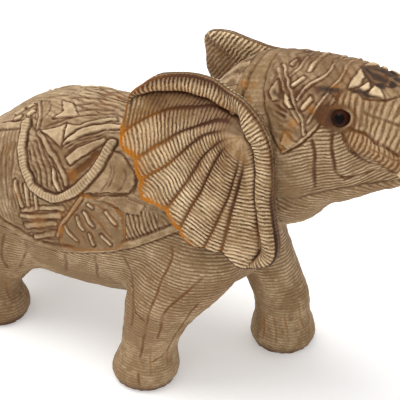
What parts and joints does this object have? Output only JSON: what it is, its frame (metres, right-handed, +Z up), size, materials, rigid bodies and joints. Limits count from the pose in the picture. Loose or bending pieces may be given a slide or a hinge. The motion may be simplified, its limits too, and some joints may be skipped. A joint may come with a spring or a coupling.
{
  "type": "carved wooden elephant",
  "caption": "Walking elephant figure carved from glued wood blocks, with let-in ears, tusks, eyes and tail, a raised trunk and relief-carved head and back cloths.",
  "frame": {"origin": "centre of the footprint of the whole figure, on the plane of the soles", "axes": "+X is the way the elephant walks, +Y its left side, +Z up"},
  "size_m": [0.3754, 0.117, 0.2356],
  "materials": {
    "carved_body": "limed pale wood, gouge-carved, brown wash left in the cuts, waxed matt",
    "carved_head": "limed pale wood, gouge-carved, brown wash and dark blots, waxed matt",
    "carved_ear": "limed pale wood, fluted, ochre-washed edge turning dark brown, waxed matt",
    "tusk": "pale close-grained wood, sanded and waxed",
    "eye": "polished dark brown bead",
    "carved_tail": "limed pale wood with brown wash",
    "dowel": "plain turned beech dowel, glued"
  },
  "bodies": {
    "root": {"torso": "carved_body", "head": "carved_head", "ear_right": "carved_ear", "ear_left": "carved_ear", "tusk_right": "tusk", "tusk_left": "tusk", "eye_right": "eye", "eye_left": "eye", "tail": "carved_tail", "neck_dowel_upper": "dowel", "neck_dowel_lower": "dowel", "ear_dowels_right": "dowel", "ear_dowels_left": "dowel"}
  },
  "joints": []
}
